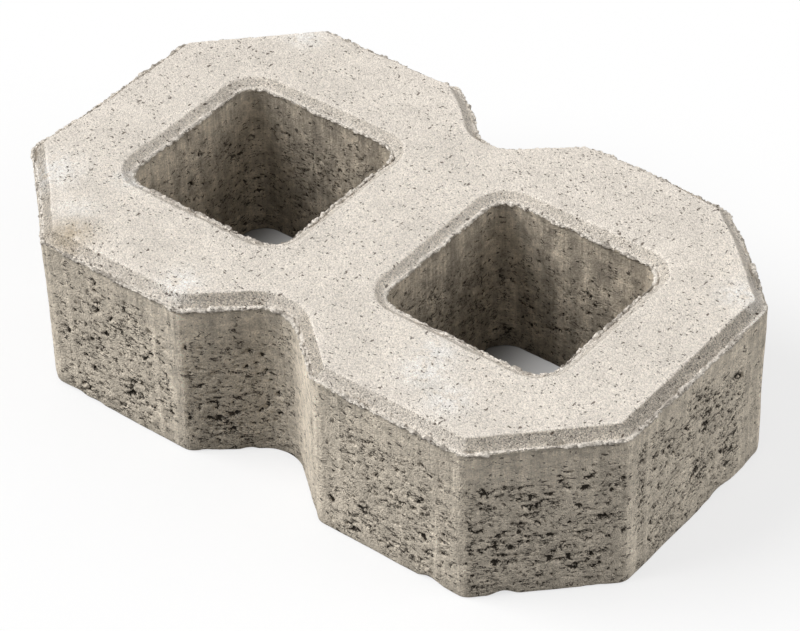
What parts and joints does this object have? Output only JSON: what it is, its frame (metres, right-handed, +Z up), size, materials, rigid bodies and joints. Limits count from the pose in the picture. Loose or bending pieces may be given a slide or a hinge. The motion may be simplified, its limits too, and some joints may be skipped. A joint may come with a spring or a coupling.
{
  "type": "grass paver",
  "caption": "Cast concrete grass paver: octagonal rings joined in line at a notched waist, with open square cells for soil and grass, and a sloped border with a lip round every top edge.",
  "frame": {"origin": "centre of the bed face, on the solid web between the two cells", "axes": "+X along the length through both cells, +Y across the width, +Z up from the bed face to the wearing face"},
  "size_m": [0.305, 0.185, 0.08],
  "materials": {
    "concrete": "as-cast vibrated concrete, sandy on top, pitted on the walls"
  },
  "bodies": {
    "root": {"paver_block": "concrete"}
  },
  "joints": []
}
